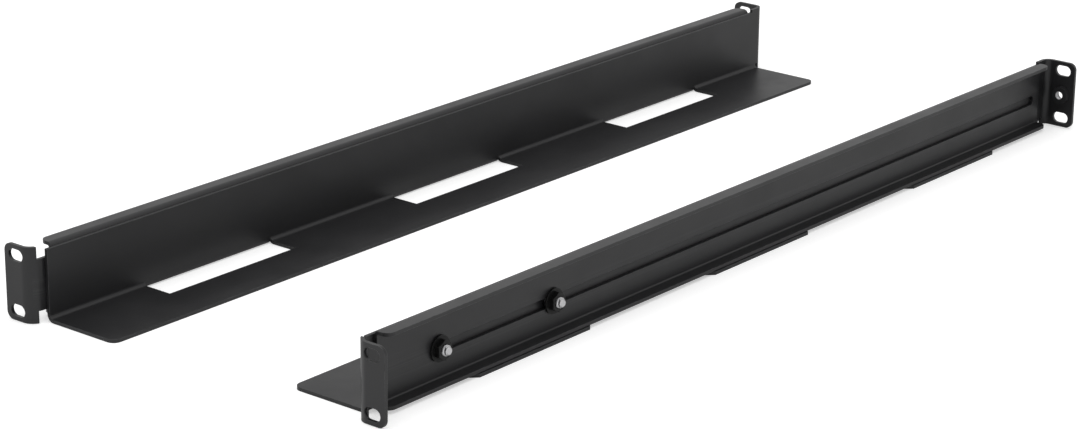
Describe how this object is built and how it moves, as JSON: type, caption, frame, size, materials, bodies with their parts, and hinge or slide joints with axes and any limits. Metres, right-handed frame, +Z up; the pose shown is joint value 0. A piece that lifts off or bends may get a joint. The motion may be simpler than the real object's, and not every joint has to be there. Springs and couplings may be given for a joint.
{
  "type": "sliding server rail pair",
  "caption": "Left and right rack support rails: L-shaped shelf rail with windows and outward tabs, sliding front channel with a long slot, ears at both ends.",
  "frame": {"origin": "bottom centre of the pair's bounding box, on the floor under its middle", "axes": "+Z up, +Y along the rails from front to rear, +X across the pair from the left to the right rail"},
  "size_m": [0.261, 0.685, 0.044],
  "materials": {
    "black_powder_coat": "satin powder coat",
    "zinc_plated_steel": "zinc plated",
    "black_oxide_steel": "black zinc"
  },
  "bodies": {
    "shelf_rails": {"left_shelf_rail": "black_powder_coat", "left_front_stud": "zinc_plated_steel", "left_front_washer": "black_oxide_steel", "left_rear_stud": "zinc_plated_steel", "left_rear_washer": "black_oxide_steel", "left_ear_nut": "zinc_plated_steel", "right_shelf_rail": "black_powder_coat", "right_front_stud": "zinc_plated_steel", "right_front_washer": "black_oxide_steel", "right_rear_stud": "zinc_plated_steel", "right_rear_washer": "black_oxide_steel", "right_ear_nut": "zinc_plated_steel"},
    "left_channel": {"left_front_channel": "black_powder_coat"},
    "left_front_lock": {"left_front_nut": "black_oxide_steel"},
    "left_rear_lock": {"left_rear_nut": "black_oxide_steel"},
    "right_channel": {"right_front_channel": "black_powder_coat"},
    "right_front_lock": {"right_front_nut": "black_oxide_steel"},
    "right_rear_lock": {"right_rear_nut": "black_oxide_steel"}
  },
  "joints": [
    {"name": "left_extend", "type": "slide", "parent": "shelf_rails", "child": "left_channel", "axis": [0, -1, 0], "range_m": [0, 0.4898]},
    {"name": "left_front_nut_turn", "type": "hinge", "parent": "shelf_rails", "child": "left_front_lock", "pos_m": [-0.11475, -0.2807, 0.0209], "axis": [-1, 0, 0], "range_deg": [0, 360]},
    {"name": "left_rear_nut_turn", "type": "hinge", "parent": "shelf_rails", "child": "left_rear_lock", "pos_m": [-0.11475, -0.1887, 0.0209], "axis": [-1, 0, 0], "range_deg": [0, 360]},
    {"name": "right_extend", "type": "slide", "parent": "shelf_rails", "child": "right_channel", "axis": [0, -1, 0], "range_m": [0, 0.4898]},
    {"name": "right_front_nut_turn", "type": "hinge", "parent": "shelf_rails", "child": "right_front_lock", "pos_m": [0.11475, -0.2637, 0.0209], "axis": [1, 0, 0], "range_deg": [0, 360]},
    {"name": "right_rear_nut_turn", "type": "hinge", "parent": "shelf_rails", "child": "right_rear_lock", "pos_m": [0.11475, -0.1717, 0.0209], "axis": [1, 0, 0], "range_deg": [0, 360]}
  ]
}
